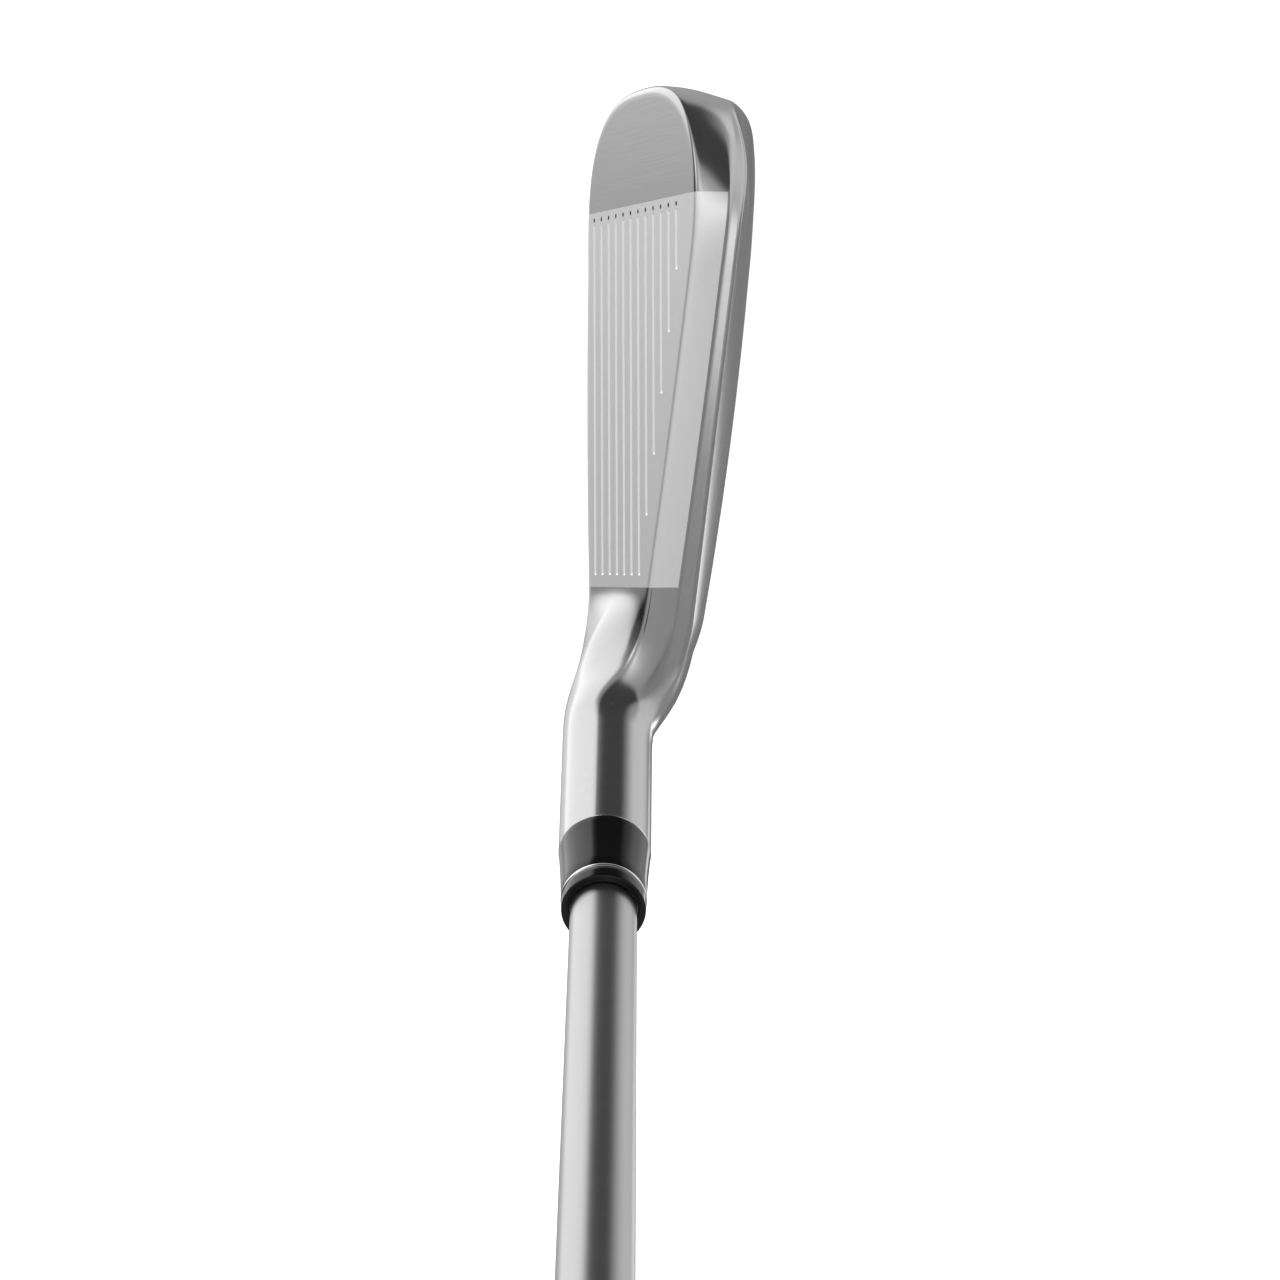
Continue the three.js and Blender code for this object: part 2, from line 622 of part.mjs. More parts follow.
function add(parent, name, geometry, material) {
  const mesh = new THREE.Mesh(geometry, material);
  mesh.name = name;
  parent.add(mesh);
}
add(club, 'head_body', geometryOf(bodySolid()), steel(0x8f9092, 0.28));
add(club, 'face_plate', geometryOf(plateSolid()), steel(0xb4b5b6, 0.55));
add(club, 'toe_weight', geometryOf(weightRod(0)), steel(0x6f7073, 0.45));
add(club, 'foam_core', geometryOf(foamSolid()), plastic(0xd9cfae, 0.9));
add(club, 'port_screw', geometryOf(screwSolid()), steel(0x77787a, 0.35));
add(axisLine, 'ferrule_barrel', turned(barrel), plastic(0x0b0b0c, 0.12));
add(axisLine, 'ferrule_ring', turned(ring), steel(0xc9cacc, 0.18));
add(axisLine, 'ferrule_nose', turned(nose), plastic(0x0b0b0c, 0.12));
add(axisLine, 'shaft', turned(shaft), steel(0xa9aaac, 0.24));
add(axisLine, 'tip_plug', turned(plug), plastic(0x3a3a3c, 0.6));
add(axisLine, 'grip_tape', turned(tape), plastic(0xe6e2d6, 0.85));
add(axisLine, 'grip_sleeve', turned(sleeve), plastic(0x17181a, 0.8));
add(axisLine, 'grip_cap', turned(cap), plastic(0x141516, 0.65));

export default club;
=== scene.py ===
"""Utility golf club (iron-shaped hybrid) at address: fine pieces over the CAD frame."""

import math

import bmesh
import bpy
import numpy as np
from mathutils import Matrix, Vector
from mathutils.bvhtree import BVHTree


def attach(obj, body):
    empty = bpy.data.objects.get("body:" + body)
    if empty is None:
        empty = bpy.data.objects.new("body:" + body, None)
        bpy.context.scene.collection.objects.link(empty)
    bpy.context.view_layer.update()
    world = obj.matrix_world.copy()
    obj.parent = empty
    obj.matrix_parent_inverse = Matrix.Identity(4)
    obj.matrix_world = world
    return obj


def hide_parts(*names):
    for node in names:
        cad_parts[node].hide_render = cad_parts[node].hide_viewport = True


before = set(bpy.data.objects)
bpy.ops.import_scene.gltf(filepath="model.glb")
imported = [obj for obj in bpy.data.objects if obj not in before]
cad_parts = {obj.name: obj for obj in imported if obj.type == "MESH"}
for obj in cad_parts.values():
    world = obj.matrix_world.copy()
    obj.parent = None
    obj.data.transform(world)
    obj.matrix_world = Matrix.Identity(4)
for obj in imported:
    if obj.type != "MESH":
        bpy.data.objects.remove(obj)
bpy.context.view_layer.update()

# ------------------------------------------------------------------ dimensions, mm, from the ground
LOFT = math.radians(18.5)
LIE = math.radians(60.3)
AXIS_X = 4.1
HOLD_AT = 880.0
SL, CL = math.sin(LOFT), math.cos(LOFT)
AXIS = np.array([0.0, -math.cos(LIE), math.sin(LIE)])
SIDE = np.array([0.0, math.sin(LIE), math.cos(LIE)])
AXIS_FOOT = np.array([AXIS_X, 0.0, 0.0])
HOLD = AXIS_FOOT + HOLD_AT * AXIS

HOSEL_R, HOSEL_END = 6.525, 60.5
TOPLINE, RIDGE_DROP = 4.85, 6.6
TOE_START, TOE_Y, TOE_T = 52.0, 79.6, 30.0
NECK_Y, NECK_Z = -2.6, 36.15
HEEL_POWER = 12
AXIS_Q = NECK_Z * math.cos(LIE) + NECK_Y * math.sin(LIE)
CROTCH_R = AXIS_Q - HOSEL_R
MASK_HEEL_Y, MASK_TOE_Y, MARKS_Y = 7.2, 62.9, 61.8
PLATE_RIM, PLATE_THICK = 0.6, 1.8
GROOVES, GROOVE_FIRST, GROOVE_PITCH = 12, 6.5, 3.52
GROOVE_HEEL_Y, GROOVE_STEP_Y, GROOVES_FULL = 9.0, 8.7, 7
RUNOUT_R = 0.35
SHAFT_FROM, SHAFT_TO = 29, 998.5
TIP_R, BUTT_R, SHAFT_WALL = 4.51, 7.62, 0.4
TAPER_FROM, TAPER_TO = 47, 715
GRIP_RINGS = (741, 744, 747, 750)
SCREW_X, SCREW_Z, SCREW_Y_IN = 15.0, 15.5, 71
# radius, distance from the heel, whether six-sided
SCREW_RINGS = (
    (2.2, 71, False),
    (2.2, 76.98, False),
    (2.12, 77.16, False),
    (1.9, 77.28, False),
    (1.34, 77.3, False),
    (1.3, 77.2, True),
    (1.3, 75.9, True),
    (0.6, 75.5, True),
)


def face(y, t, w=0.0):
    """A point of the face frame: y along the face, t up it, w behind it."""
    return np.array([t * SL + w * CL, y, t * CL - w * SL])


UP = face(0, 1)
BEHIND = face(0, 0, 1)
DOWN = np.array([0.0, 0.0, -1.0])


def smooth(x, lo, hi):
    s = min(max((x - lo) / (hi - lo), 0.0), 1.0)
    return s * s * (3 - 2 * s)


def mix(a, b, s):
    return a + (b - a) * s


# ------------------------------------------------------------------ lines of the head
def top_line(y):
    return 28.8 + 0.427 * y + 0.8 * (1 - ((y - 30) / 30) ** 2)


def sole_line(y):
    return 0.3 + (y - 30) ** 2 / 868


def back_x(y):
    return 17.85 + 0.1885 * y - 0.00095 * y * y


def top_front(y):
    crotch = (NECK_Z - math.sqrt(CROTCH_R**2 - (y - NECK_Y) ** 2)) / CL if y < NECK_Y + 3.7 else 0
    return face(y, max(top_line(y), crotch))


def top_back(y):
    return top_front(y) + TOPLINE * BEHIND


def ridge(y):
    return np.array([16.2 + 0.1226 * y, y, top_back(y)[2] - RIDGE_DROP])


def sole_front(y):
    return face(y, sole_line(y))


def sole_rear(y):
    return np.array([back_x(y) - 6, y, 0.5])


def sole_back(y):
    return np.array([back_x(y), y, 2.6])


def face_middle(y):
    return face(y, mix(15, 27, (y - NECK_Y) / (60 - NECK_Y)))


def toe_outline():
    """The face's outline round the toe, from the topline to the sole."""
    points = []
    for top, power in ((True, 2.3), (False, 3.05)):
        line = top_line if top else sole_line
        drop = line(TOE_Y) - TOE_T
        quarter = []
        for q in np.linspace(0, 1, 400):
            y = TOE_START + (TOE_Y - TOE_START) * math.sin(q * math.pi / 2) ** (2 / power)
            rest = max(math.cos(q * math.pi / 2), 0) ** (2 / power)
            quarter.append(face(y, line(y) - drop * (1 - rest)))
        points += quarter if top else quarter[::-1][1:]
    return np.array(points)


def through(points, lead):
    """A smooth curve through points, without its first and last `lead` spans."""
    p = np.array(points, float)
    knots = np.concatenate([[0], np.cumsum(np.linalg.norm(np.diff(p, axis=0), axis=1) ** 0.75)])
    h = np.diff(knots)
    n = len(p)
    a = np.eye(n)
    b = np.zeros((n, 3))
    for i in range(1, n - 1):
        a[i, i - 1 : i + 2] = h[i - 1], 2 * (h[i - 1] + h[i]), h[i]
        b[i] = 6 * ((p[i + 1] - p[i]) / h[i] - (p[i] - p[i - 1]) / h[i - 1])
    m = np.linalg.solve(a, b)
    t = np.linspace(knots[lead], knots[n - 1 - lead], 1500)
    k = np.clip(np.searchsorted(knots, t) - 1, 0, n - 2)
    u = (t - knots[k])[:, None]
    v = (knots[k + 1] - t)[:, None]
    hk = h[k][:, None]
    curve = (m[k] * v**3 + m[k + 1] * u**3) / (6 * hk)
    return curve + (p[k] / hk - m[k] * hk / 6) * v + (p[k + 1] / hk - m[k + 1] * hk / 6) * u


def spaced(line, fractions):
    """Points of a dense line at these fractions of its length."""
    run = np.concatenate([[0], np.cumsum(np.linalg.norm(np.diff(line, axis=0), axis=1))])
    at = np.asarray(fractions) * run[-1]
    return np.stack([np.interp(at, run, line[:, i]) for i in range(3)], axis=1)


WALL_LINE = through(
    [top_back(36), top_back(44), top_back(TOE_START), top_back(60)]
    + [
        (22.2, 66, 48.2),
        (22.3, 71, 45.1),
        (21.6, 75, 39.8),
        (20.6, 77.6, 32.5),
        (20.3, 78.6, 24),
        (20.6, 78.4, 14),
        (20.8, 76.6, 5.6),
        (20.6, 72.5, 1.7),
        (20.3, 66, 0.9),
    ]
    + [sole_rear(60), sole_rear(TOE_START), sole_rear(44), sole_rear(36)],
    2,
)
BACK_LINE = through(
    [ridge(36), ridge(44), ridge(TOE_START), ridge(60)]
    + [
        (24.25, 66.5, 41.3),
        (23.8, 71, 39.4),
        (22.9, 75, 36),
        (22.9, 76.9, 31.5),
        (24.1, 77.3, 24.5),
        (25.3, 77, 16),
        (25.8, 75.8, 8),
        (26.1, 72.3, 3.5),
        (26, 67, 2.7),
    ]
    + [sole_back(60), sole_back(TOE_START), sole_back(44), sole_back(36)],
    2,
)

# ------------------------------------------------------------------ cross-sections of the head
COLUMNS = {"face": 9, "front": 9, "wall": 10, "turn": 8, "band": 5, "edge": 8, "rear": 13}
HALF = sum(COLUMNS.values())
FLAT_AT = COLUMNS["face"] - 1
WALL_AT = COLUMNS["face"] + COLUMNS["front"]
BAND_AT = WALL_AT + COLUMNS["wall"] + COLUMNS["turn"]
REAR_AT = HALF - COLUMNS["rear"]
TOP_CUTS = np.array([0.9, 0.4, 0.45])
TOE_CUTS = np.array([1.15, 3.2, 3.6])
SOLE_CUTS = np.array([3.2, 2.6, 5.5])


def arc(a, b, c, n):
    s = (np.arange(1, n + 1) / n)[:, None]
    return (1 - s) ** 2 * a + 2 * s * (1 - s) * b + s * s * c


def toward(a, b, d):
    length = np.linalg.norm(b - a)
    return a + (b - a) * min(d / length, 0.48)


def back_middle(y):
    top, low = ridge(y), sole_back(y)
    slope = (top[0] - low[0]) / (top[2] - low[2])
    return np.array([(top[0] + low[0]) / 2 + 0.35, y, (top[2] + low[2]) / 2]), 0.12, slope


def half_row(middle, front, camber, wall, edge, rear, cuts, lip):
    """Half a section, from the middle of the face over its edge, the wall and the ridge to the back."""
    at, slope_y, slope_z = rear
    crest = (front + wall) / 2 + camber
    f1, f2 = toward(front, middle, cuts[0]), toward(front, crest, cuts[0])
    w1, w2 = toward(wall, crest, cuts[1]), toward(wall, edge, cuts[1])
    knee = (edge + at) / 2
    knee[0] = at[0] + slope_y * (knee[1] - at[1]) + slope_z * (knee[2] - at[2])
    e1, e2 = toward(edge, wall, cuts[2]), toward(edge, knee, cuts[2])
    rim = toward(f1, middle, PLATE_RIM)
    return np.concatenate(
        [
            middle[None],
            arc(middle, (middle + rim) / 2, rim, FLAT_AT),
            f1[None],
            arc(f1, front, f2, COLUMNS["front"]),
            arc(f2, crest, w1, COLUMNS["wall"]),
            arc(w1, wall, w2, COLUMNS["turn"]),
            arc(w2, (w2 + e1) / 2, e1, COLUMNS["band"]),
            arc(e1, edge + np.array([lip, 0, 0]), e2, COLUMNS["edge"]),
            arc(e2, knee, at, COLUMNS["rear"]),
        ]
    )


def blade_ring(y, lip=0.45):
    middle, rear = face_middle(y), back_middle(y)
    top = half_row(middle, top_front(y), 0.2 * UP, top_back(y), ridge(y), rear, TOP_CUTS, lip)
    sole = half_row(middle, sole_front(y), 1.1 * DOWN, sole_rear(y), sole_back(y), rear, SOLE_CUTS, 0)
    return np.concatenate([top, sole[::-1][1:-1]])


STOPS = [0, COLUMNS["face"], WALL_AT, BAND_AT, REAR_AT, HALF]
TOP_ANGLES = [180, 102, 84, 40, 4, -22]
LOW_ANGLES = [180, 222, 250, 285, 315, 338]
RING_ANGLES = np.radians(
    np.concatenate(
        [
            np.interp(np.arange(HALF + 1), STOPS, TOP_ANGLES),
            np.interp(np.arange(HALF - 1, 0, -1), STOPS, LOW_ANGLES),
        ]
    )
)
TILT = math.radians(4)


def fan_points(x, q, turn):
    return np.stack([x, NECK_Y - q * math.sin(turn), NECK_Z - q * math.cos(turn)], axis=1)


def neck_reach(turn):
    low = NECK_Z - sole_front(NECK_Y)[2]
    reach = (AXIS_Q + HOSEL_R) / math.cos(LIE)
    flat = (low**-HEEL_POWER - reach**-HEEL_POWER) ** (-1 / HEEL_POWER) * math.cos(TILT)
    sole = flat / math.cos(turn + TILT)
    heel = (AXIS_Q + HOSEL_R) / math.cos(LIE - turn)
    return (sole**-HEEL_POWER + heel**-HEEL_POWER) ** (-1 / HEEL_POWER)


def hosel_ring(turn):
    spread = (neck_reach(turn) - CROTCH_R) / (2 * HOSEL_R)
    across = HOSEL_R * (1 - np.sin(RING_ANGLES))
    return fan_points(AXIS_X + HOSEL_R * np.cos(RING_ANGLES), CROTCH_R + across * spread, turn)


def straight_ring(a):
    x = AXIS_X + HOSEL_R * np.cos(RING_ANGLES)
    ring = AXIS * a + SIDE * (HOSEL_R * np.sin(RING_ANGLES))[:, None]
    ring[:, 0] = x
    return ring


BLADE_RUN = MASK_HEEL_Y - NECK_Y


def melts(y, turn):
    """How far each column has gone from blade (0) to round hosel (1), at y or at an angle of the fan."""
    run = MASK_HEEL_Y - y
    on_face = 1 - (1 - ease((run + 24 * math.sin(turn)) / 29, 0.1)) ** 2.8
    on_top = (1 - math.cos(math.pi * min((run + CROTCH_R * math.sin(turn)) / 17.7, 1) ** 1.8)) / 2
    on_back = smooth(0.25 * run / BLADE_RUN + 0.75 * turn / LIE, 0.12, 0.87)
    keys = [0, COLUMNS["face"], REAR_AT, 2 * HALF - REAR_AT, 2 * HALF - COLUMNS["face"], 2 * HALF]
    return np.interp(np.arange(2 * HALF), keys, [on_face, on_top, on_back, on_back, on_face, on_face])


def ease(s, soft):
    """s with a soft start, reaching 1 at 1."""
    s = min(s, 1)
    return (math.hypot(s, soft) - soft) / (math.hypot(1, soft) - soft)


def neck_ring(turn):
    low = NECK_Z - sole_front(NECK_Y)[2]
    scale = (neck_reach(turn) - CROTCH_R) / (low - CROTCH_R)
    blade = blade_ring(NECK_Y, 0.45 * (1 - smooth(turn, 0, 0.5)))
    q = CROTCH_R + (NECK_Z - blade[:, 2] - CROTCH_R) * scale
    return mix(fan_points(blade[:, 0], q, turn), hosel_ring(turn), melts(NECK_Y, turn)[:, None])


STRAIGHT_RUN = np.concatenate([np.linspace(HOSEL_END, 41, 7), np.linspace(41, 33, 37)[1:]])
NECK_RINGS, HEEL_RINGS = 44, 15


def softened(rings, at, reach=22, passes=3, half=6):
    """The rings, with the start of the bend at ring `at` spread out over its neighbours."""
    p = np.array(rings)
    run = p.copy()
    last = len(p) - 1
    for _ in range(passes):
        steps = [run[np.clip(np.arange(len(p)) + k, 0, last)] for k in range(-half, half + 1)]
        run = sum(steps) / len(steps)
    weight = [smooth(1 - abs(i - at) / reach, 0, 1) for i in range(len(p))]
    return list(mix(p, run, np.array(weight)[:, None, None]))


def head_rings():
    rings = [straight_ring(a) for a in STRAIGHT_RUN]
    for i in np.linspace(1, 1 / NECK_RINGS, NECK_RINGS):
        rings.append(neck_ring(LIE * i))
    rings = softened(rings, len(STRAIGHT_RUN))
    heel_ys = np.linspace(NECK_Y, MASK_HEEL_Y, HEEL_RINGS)
    blade_ys = np.linspace(MASK_HEEL_Y, TOE_START, 40)[1:]
    for y in np.concatenate([heel_ys, blade_ys]):
        ring = blade_ring(y)
        if y < MASK_HEEL_Y:
            target = hosel_ring(0)
            target[:, 1] = y
            ring = mix(ring, target, melts(y, 0)[:, None])
        rings.append(ring)
    return rings


def toe_rows(n=130):
    outline = toe_outline()
    s = np.arange(n + 1) / n
    fronts, walls, edges = spaced(outline, s), spaced(WALL_LINE, s), spaced(BACK_LINE, s)
    tangents = np.gradient(spaced(outline, np.linspace(0, 1, 4 * n + 1)), axis=0)[::4]
    rows = []
    for i, f in enumerate(s):
        low, high = smooth(f, 0.5, 0.95), 1 - smooth(f, 0.12, 0.4)
        cuts = mix(mix(TOE_CUTS, SOLE_CUTS, low), TOP_CUTS, high)
        cuts[0] = mix(mix(TOE_CUTS[0], SOLE_CUTS[0], smooth(f, 0.75, 1)), TOP_CUTS[0], high)
        cuts[2] = mix(cuts[2], TOP_CUTS[2], 1 - smooth(f, 0.3, 0.5))
        camber = mix(mix(0.6, 1.1, low), 0.2, high)
        outward = np.cross(BEHIND, tangents[i])
        outward = mix(outward / np.linalg.norm(outward), DOWN, low)
        outward /= np.linalg.norm(outward)
        lip = 0.45 * (1 - smooth(f, 0.26, 0.4))
        middle, rear = face_middle(TOE_START), back_middle(TOE_START)
        rows.append(half_row(middle, fronts[i], outward * camber, walls[i], edges[i], rear, cuts, lip))
    return rows


# ------------------------------------------------------------------ making pieces
def to_row(points):
    """Millimetres from the ground to metres from the hands."""
    return (np.asarray(points, float) - HOLD) / 1000


def make(name, mesh, materials, slot, *nodes):
    for m in materials:
        mesh.materials.append(m)
    obj = bpy.data.objects.new(name, mesh)
    bpy.context.scene.collection.objects.link(obj)
    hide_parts(*nodes)
    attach(obj, "root")
    return obj


def mesh_of(name, bm, shade=True):
    mesh = bpy.data.meshes.new(name)
    bm.to_mesh(mesh)
    bm.free()
    mesh.shade_smooth() if shade else mesh.shade_flat()
    return mesh


def cut_at(bm, y):
    """Adds an edge line where the plane of this y crosses the mesh."""
    geom = bm.verts[:] + bm.edges[:] + bm.faces[:]
    at = to_row(np.array([0, y, 0]))
    bmesh.ops.bisect_plane(bm, geom=geom, dist=1e-7, plane_co=at, plane_no=(0, 1, 0))


def head_mesh():
    rings, rows = head_rings(), toe_rows()
    last = rings[-1]
    fan = [last[: HALF + 1], *rows[1:-1], np.concatenate([last[:1], last[HALF:][::-1]])]
    bm = bmesh.new()
    zone = bm.faces.layers.int.new("zone")
    n = len(last)
    grid = [[bm.verts.new(to_row(p)) for p in ring] for ring in rings]
    first_blade = len(STRAIGHT_RUN) + NECK_RINGS + HEEL_RINGS - 1

    def kind(column, row):
        top = column <= HALF
        c = column if top else n - column
        if top and COLUMNS["face"] <= c < WALL_AT + COLUMNS["wall"]:
            return 1
        return 1 if c < COLUMNS["face"] + 2 and row >= first_blade else 0

    for r in range(len(rings) - 1):
        for c in range(n):
            d = (c + 1) % n
            low, high = (c, c + 1) if c < HALF else (n - c - 1, n - c)
            if r >= first_blade and high <= FLAT_AT:
                continue
            f = bm.faces.new((grid[r][c], grid[r][d], grid[r + 1][d], grid[r + 1][c]))
            f[zone] = kind(c, r)
    sole_row = [grid[-1][0]] + grid[-1][HALF:][::-1]
    fan_grid = [grid[-1][: HALF + 1]]
    for row in fan[1:-1]:
        middle = [bm.verts.new(to_row(p)) for p in row[1:-1]]
        fan_grid.append([grid[-1][0], *middle, grid[-1][HALF]])
    fan_grid.append(sole_row)
    for r in range(len(fan_grid) - 1):
        a, b = fan_grid[r], fan_grid[r + 1]
        for c in range(FLAT_AT, HALF):
            corners = [a[c], a[c + 1], b[c + 1], b[c]]
            corners = [v for i, v in enumerate(corners) if v not in corners[:i]]
            f = bm.faces.new(corners)
            on_top = r < 60 and c < WALL_AT + COLUMNS["wall"]
            f[zone] = 1 if on_top or c < COLUMNS["face"] + 2 else 0
    loose = [v for v in bm.verts if not v.link_faces]
    bmesh.ops.delete(bm, geom=loose, context="VERTS")
    open_port(bm)
    cut_at(bm, MASK_TOE_Y)
    lo, hi = to_row([0, MASK_HEEL_Y, 0])[1], to_row([0, MASK_TOE_Y, 0])[1]
    for f in bm.faces:
        y = f.calc_center_median()[1]
        f.material_index = f[zone] if lo < y < hi else 0
    bmesh.ops.recalc_face_normals(bm, faces=bm.faces)
    return mesh_of("head_body_fine", bm)


def open_port(bm):
    """The round filling hole in the toe wall, with a broken edge, that the port screw sits in."""
    axis = Vector(to_row([SCREW_X, 0, SCREW_Z]))
    skin = BVHTree.FromBMesh(bm)

    def off_axis(v):
        return math.hypot(v.co.x - axis.x, v.co.z - axis.z)

    def surface_ring(r, depth):
        ring = []
        for g in np.radians(np.arange(0, 360, 7.5)):
            above = Vector(to_row([SCREW_X + r * math.cos(g), 95, SCREW_Z + r * math.sin(g)]))
            hit = skin.ray_cast(above, Vector((0, -1, 0)))[0]
            ring.append(bm.verts.new(hit - Vector((0, depth / 1000, 0))))
        return ring

    def loop(ring):
        pairs = zip(ring, ring[1:] + ring[:1])
        return [bm.edges.get(pair) or bm.edges.new(pair) for pair in pairs]

    toe = to_row([0, SCREW_Y_IN, 0])[1]
    gone = [v for v in bm.verts if v.co.y > toe and off_axis(v) < 0.0034]
    around = {e for v in gone for f in v.link_faces for e in f.edges}
    bmesh.ops.delete(bm, geom=gone, context="VERTS")
    mouth = [e for e in around if e.is_valid and e.is_boundary]
    edge, throat, foot = surface_ring(2.5, 0), surface_ring(2.26, 0.2), surface_ring(2.26, 6)
    bmesh.ops.bridge_loops(bm, edges=mouth + loop(edge))
    bmesh.ops.bridge_loops(bm, edges=loop(edge) + loop(throat))
    bmesh.ops.bridge_loops(bm, edges=loop(throat) + loop(foot))
    for e in loop(edge) + loop(throat):
        e.smooth = False


def plate_rim():
    """Outline of the face plate, in the plane of the face."""
    ys = np.linspace(MASK_HEEL_Y, TOE_START, 40)
    top = [blade_ring(y)[FLAT_AT] for y in ys]
    toe = [row[FLAT_AT] for row in toe_rows()[1:-1]]
    sole = [blade_ring(y)[2 * HALF - FLAT_AT] for y in ys[::-1]]
    return top + toe + sole


def add_prism(bm, low, high):
    """A closed solid between two outlines."""
    a = [bm.verts.new(to_row(p)) for p in low]
    b = [bm.verts.new(to_row(p)) for p in high]
    bm.faces.new(a)
    bm.faces.new(b[::-1])
    for i in range(len(a)):
        j = (i + 1) % len(a)
        bm.faces.new((a[j], a[i], b[i], b[j]))


def plate_mesh():
    rim = plate_rim()
    plate = bmesh.new()
    add_prism(plate, rim, [p + PLATE_THICK * BEHIND for p in rim])
    cut_at(plate, MASK_TOE_Y)
    bmesh.ops.recalc_face_normals(plate, faces=plate.faces)
    base = bpy.data.objects.new("plate_base", mesh_of("plate_base", plate, False))
    tools = bmesh.new()
    for i in range(GROOVES):
        t = GROOVE_FIRST + GROOVE_PITCH * i
        heel = GROOVE_HEEL_Y + GROOVE_STEP_Y * max(0, i + 1 - GROOVES_FULL)
        groove = []
        for half, y0, y1, depth in ((0.56, heel - 0.3, 61.3, -0.15), (0.2, heel + 0.7, 60.6, 0.42)):
            corners = ((y0, t - half), (y1, t - half), (y1, t + half), (y0, t + half))
            groove.append([face(y, u, depth) for y, u in corners])
        add_prism(tools, *groove)
        dot = []
        for depth in (-0.5, 0.6):
            turns = np.radians(np.arange(0, 360, 30))
            circle = [(RUNOUT_R * math.cos(g), RUNOUT_R * math.sin(g)) for g in turns]
            dot.append([face(MARKS_Y + y, t + z, depth) for y, z in circle])
        add_prism(tools, *dot)
    bmesh.ops.recalc_face_normals(tools, faces=tools.faces)
    cutter = bpy.data.objects.new("plate_tools", mesh_of("plate_tools", tools, False))
    for o in (base, cutter):
        bpy.context.scene.collection.objects.link(o)
    cut = base.modifiers.new("grooves", "BOOLEAN")
    cut.operation, cut.solver, cut.object = "DIFFERENCE", "EXACT", cutter
    bpy.context.view_layer.update()
    graph = bpy.context.evaluated_depsgraph_get()
    mesh = bpy.data.meshes.new_from_object(base.evaluated_get(graph))
    mesh.name = "face_plate_fine"
    hi, marks = to_row([0, MASK_TOE_Y, 0])[1], to_row([0, MARKS_Y - 0.4, 0])[1]
    for f in mesh.polygons:
        sunk = (np.array(f.center) - to_row([0, 0, 0])) @ BEHIND * 1000 > 0.05
        # Faces sunk into the plate at the run-out dots get the near-black material: painted shade standing in
        # for the shade inside these recesses.
        dark = sunk and marks < f.center[1] < hi - 0.0005 and f.area < 1e-6
        f.material_index = 2 if dark else 1 if f.center[1] > hi else 0
    for o in (base, cutter):
        bpy.data.objects.remove(o)
    return mesh


def turned(name, profile, around=128):
    """A solid turned about the shaft axis from a closed profile of (radius, distance), with a UV."""
    bm = bmesh.new()
    uv = bm.loops.layers.uv.new("uv")
    angles = np.arange(around) * 2 * math.pi / around
    rings = []
    for r, a in profile:
        if r < 1e-6:
            rings.append([bm.verts.new(to_row(AXIS_FOOT + AXIS * a))])
            continue
        ring = []
        for g in angles:
            offset = np.array([math.cos(g), 0, 0]) + SIDE * math.sin(g)
            ring.append(bm.verts.new(to_row(AXIS_FOOT + AXIS * a + r * offset)))
        rings.append(ring)
    for k in range(len(rings)):
        low, high = rings[k], rings[(k + 1) % len(rings)]
        v0, v1 = profile[k][1] / 100, profile[(k + 1) % len(rings)][1] / 100
        if len(low) == 1 and len(high) == 1:
            continue
        for i in range(around):
            j = (i + 1) % around
            corners = [(low[i % len(low)], i, v0), (low[j % len(low)], i + 1, v0)]
            corners += [(high[j % len(high)], i + 1, v1), (high[i % len(high)], i, v1)]
            seen, kept = set(), []
            for v, u, w in corners:
                if v not in seen:
                    seen.add(v)
                    kept.append((v, u, w))
            f = bm.faces.new([v for v, _, _ in kept])
            for loop, (_, u, w) in zip(f.loops, kept):
                loop[uv].uv = (u / around, w)
    bmesh.ops.recalc_face_normals(bm, faces=bm.faces)
    mesh = mesh_of(name, bm)
    mesh.set_sharp_from_angle(angle=math.radians(40))
    return mesh


def rounded(r, a, radius, up, n=6):
    """A quarter-round corner of a profile: from the wall to the end face, or back."""
    out = []
    for i in range(n + 1):
        g = i / n * math.pi / 2
        out.append((r - radius * (1 - math.cos(g)), a + (-radius + radius * math.sin(g)) * up))
    return out


def lofted(name, rings):
    """A closed solid of rings of equal length; the first and the last are closed with a flat face."""
    bm = bmesh.new()
    grid = [[bm.verts.new(to_row(p)) for p in ring] for ring in rings]
    for low, high in zip(grid, grid[1:]):
        for i in range(len(low)):
            j = (i + 1) % len(low)
            bm.faces.new((low[i], low[j], high[j], high[i]))
    bm.faces.new(grid[0])
    bm.faces.new(grid[-1])
    bmesh.ops.recalc_face_normals(bm, faces=bm.faces)
    mesh = mesh_of(name, bm)
    mesh.set_sharp_from_angle(angle=math.radians(35))
    return mesh


def screw_mesh():
    """The plug of the weight's way: a round head, level with the toe, with a six-sided socket."""
    turns = np.radians(np.arange(0, 360, 5))
    six = np.cos(math.pi / 6) / np.cos((turns + math.pi / 6) % (math.pi / 3) - math.pi / 6)
    rings = []
    for radius, y, hexagon in SCREW_RINGS:
        r = radius * (six if hexagon else 1)
        xs, zs = SCREW_X + r * np.cos(turns), SCREW_Z + r * np.sin(turns)
        rings.append(np.stack([xs, np.full(72, y), zs], axis=1))
    return lofted("port_screw_fine", rings)


# ------------------------------------------------------------------ materials
def nodes_of(name, base, rough, metal):
    m = bpy.data.materials.new(name)
    m.use_nodes = True
    nt = m.node_tree
    shader = nt.nodes["Principled BSDF"]
    shader.inputs["Base Color"].default_value = (*base, 1)
    shader.inputs["Roughness"].default_value = rough
    shader.inputs["Metallic"].default_value = metal
    return m, nt, shader


